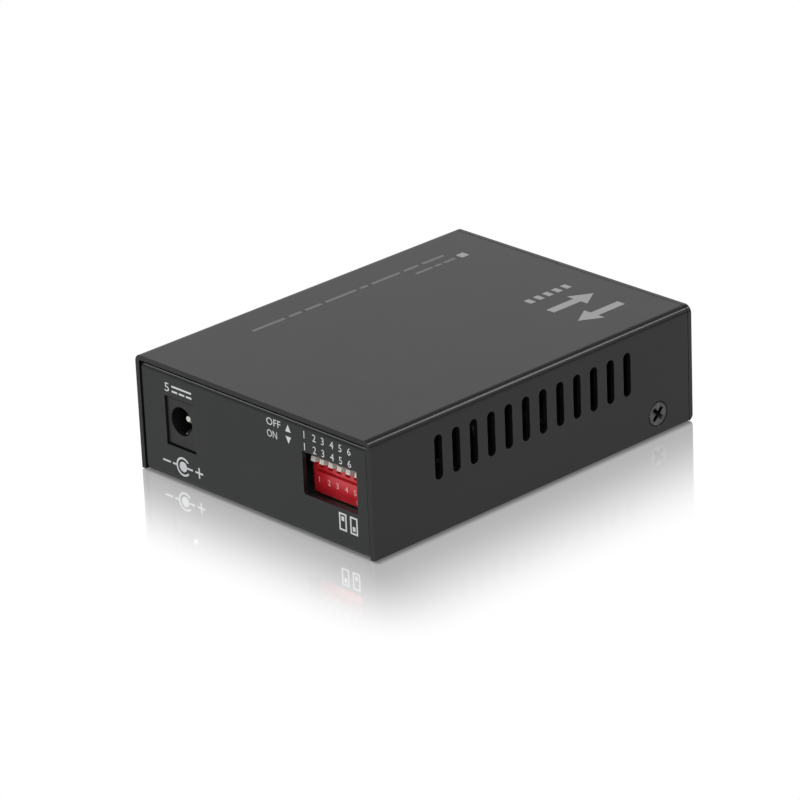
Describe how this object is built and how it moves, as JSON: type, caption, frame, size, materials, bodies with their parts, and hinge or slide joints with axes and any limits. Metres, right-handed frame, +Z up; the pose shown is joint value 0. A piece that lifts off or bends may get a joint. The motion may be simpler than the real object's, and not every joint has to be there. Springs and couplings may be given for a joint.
{
  "type": "fibre media converter",
  "caption": "Small charcoal steel box that joins a copper network port to a fibre transceiver slot, with a DC inlet and a red piano-type DIP switch behind a window.",
  "frame": {"origin": "centre of the underside of the case", "axes": "+Z up, +Y towards the port panel, -Y towards the power panel, +X towards the side with the vents that shows beside the power panel"},
  "size_m": [0.0702, 0.094, 0.0262],
  "materials": {
    "cover_paint": "fine textured powder coat, charcoal black",
    "tray_paint": "fine textured powder coat, charcoal black",
    "black_screw": "black oxide",
    "board_laminate": "green solder mask",
    "plated_steel": "zinc plated",
    "inlet_plastic": "moulded, dark grey",
    "nickel_pin": "nickel plated",
    "spring_metal": "tin plated",
    "red_plastic": "moulded, semi-gloss red",
    "black_plastic": "moulded, black",
    "gold_contact": "gold plated",
    "cage_metal": "nickel plated",
    "lamp_lens": "diffused lens",
    "chip_package": "moulded epoxy",
    "ferrite": "ferrite",
    "can_aluminium": "drawn can",
    "ceramic_chip": "ceramic",
    "lever_plastic": "moulded, white"
  },
  "bodies": {
    "case": {"top_cover": "cover_paint", "base_tray": "tray_paint", "cover_screws": "black_screw", "circuit_board": "board_laminate", "board_standoffs": "plated_steel", "board_screws": "plated_steel", "dc_inlet_housing": "inlet_plastic", "dc_inlet_pin": "nickel_pin", "dc_inlet_contacts": "spring_metal", "dip_housing": "red_plastic", "dip_base": "black_plastic", "dip_contacts": "gold_contact", "sfp_cage": "cage_metal", "sfp_emi_spring": "spring_metal", "sfp_edge_connector": "black_plastic", "sfp_edge_contacts": "gold_contact", "rj45_insert": "black_plastic", "rj45_contacts": "gold_contact", "rj45_shield": "cage_metal", "lamp_holder": "black_plastic", "status_lamps": "lamp_lens", "converter_chip": "chip_package", "magnetics_module": "black_plastic", "memory_chip": "chip_package", "crystal": "cage_metal", "voltage_regulator": "chip_package", "power_inductor": "ferrite", "can_capacitors": "can_aluminium", "board_passives": "ceramic_chip"},
    "lever_1": {"dip_lever_1": "lever_plastic"},
    "lever_2": {"dip_lever_2": "lever_plastic"},
    "lever_3": {"dip_lever_3": "lever_plastic"},
    "lever_4": {"dip_lever_4": "lever_plastic"},
    "lever_5": {"dip_lever_5": "lever_plastic"},
    "lever_6": {"dip_lever_6": "lever_plastic"}
  },
  "joints": [
    {"name": "lever_1_flip", "type": "hinge", "parent": "case", "child": "lever_1", "pos_m": [0.0161, -0.04015, 0.01505], "axis": [1, 0, 0], "range_deg": [0, 30]},
    {"name": "lever_2_flip", "type": "hinge", "parent": "case", "child": "lever_2", "pos_m": [0.01864, -0.04015, 0.01505], "axis": [1, 0, 0], "range_deg": [0, 30]},
    {"name": "lever_3_flip", "type": "hinge", "parent": "case", "child": "lever_3", "pos_m": [0.02118, -0.04015, 0.01505], "axis": [1, 0, 0], "range_deg": [0, 30]},
    {"name": "lever_4_flip", "type": "hinge", "parent": "case", "child": "lever_4", "pos_m": [0.02372, -0.04015, 0.01505], "axis": [1, 0, 0], "range_deg": [0, 30]},
    {"name": "lever_5_flip", "type": "hinge", "parent": "case", "child": "lever_5", "pos_m": [0.02626, -0.04015, 0.01505], "axis": [1, 0, 0], "range_deg": [0, 30]},
    {"name": "lever_6_flip", "type": "hinge", "parent": "case", "child": "lever_6", "pos_m": [0.0288, -0.04015, 0.01505], "axis": [1, 0, 0], "range_deg": [0, 30]}
  ]
}
